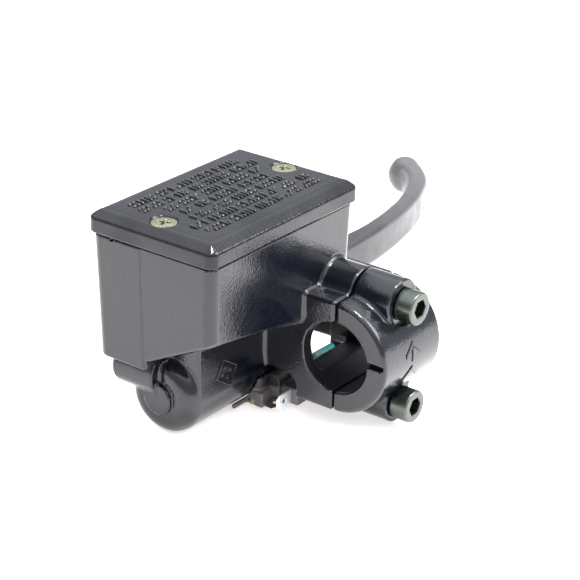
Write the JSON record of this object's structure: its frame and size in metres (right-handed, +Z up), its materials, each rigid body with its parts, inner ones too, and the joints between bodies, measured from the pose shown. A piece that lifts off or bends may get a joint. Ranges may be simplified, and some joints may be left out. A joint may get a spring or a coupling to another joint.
{
  "type": "motorcycle brake master cylinder",
  "caption": "Right-hand front brake master cylinder with integral rectangular fluid reservoir, two-piece handlebar clamp, brake lever, hydraulic piston and brake-light switch.",
  "frame": {"origin": "centre of the handlebar bore, at the middle of the clamp's length", "axes": "+X along the handlebar towards the lever's tip, +Y forward from the rider, +Z up"},
  "size_m": [0.211, 0.1079, 0.0695],
  "materials": {
    "cast_body": "semi-gloss black paint on cast aluminium, with slight orange peel",
    "lid": "satin black paint with a fine texture",
    "lever": "satin black paint on forged aluminium",
    "zinc_bolt": "grey-green zinc plating",
    "lid_screw": "olive zinc plating",
    "bright_steel": "bright zinc",
    "spring_steel": "drawn wire",
    "brass": "dull brass",
    "anodised_piston": "turned and anodised",
    "rubber": "matt black rubber",
    "switch_plastic": "moulded black plastic",
    "plunger_plastic": "moulded teal plastic",
    "inner_plastic": "moulded grey plastic"
  },
  "bodies": {
    "perch": {"master_body": "cast_body", "clamp_cap": "cast_body", "clamp_bolts": "zinc_bolt", "reservoir_lid": "lid", "lid_screws": "lid_screw", "lid_diaphragm": "rubber", "diaphragm_plate": "inner_plastic", "fluid_baffle": "bright_steel", "lever_pivot_bolt": "zinc_bolt", "lever_pivot_nut": "zinc_bolt", "return_spring": "spring_steel", "stop_washer": "bright_steel", "circlip": "spring_steel", "dust_boot": "rubber", "switch_housing": "switch_plastic", "switch_spring": "spring_steel", "switch_spade_upright": "bright_steel", "switch_spade_flat": "brass", "switch_screw": "lid_screw"},
    "lever": {"brake_lever": "lever", "lever_bush": "brass"},
    "piston_set": {"piston": "anodised_piston", "primary_cup": "rubber", "secondary_cup": "rubber", "spring_seat": "brass"},
    "plunger_set": {"switch_plunger": "plunger_plastic", "switch_contact": "brass"}
  },
  "joints": [
    {"name": "lever_pivot", "type": "hinge", "parent": "perch", "child": "lever", "pos_m": [0.023, 0.058, -0.0112], "axis": [0, 0, -1], "range_deg": [0, 14], "stiffness_Nm_per_rad": 0.6, "springref_deg": -20.05},
    {"name": "piston_slide", "type": "slide", "parent": "perch", "child": "piston_set", "axis": [-1, 0, 0], "range_m": [0, 0.0053], "deforming": ["return_spring", "dust_boot"]},
    {"name": "plunger_slide", "type": "slide", "parent": "perch", "child": "plunger_set", "axis": [-1, 0, 0], "range_m": [0, 0.0094], "deforming": ["switch_spring"]}
  ],
  "couplings": [
    {"joint": "piston_slide", "follows": "lever_pivot", "m_per_rad": 0.021},
    {"joint": "plunger_slide", "follows": "lever_pivot", "m_per_rad": 0.0375}
  ]
}
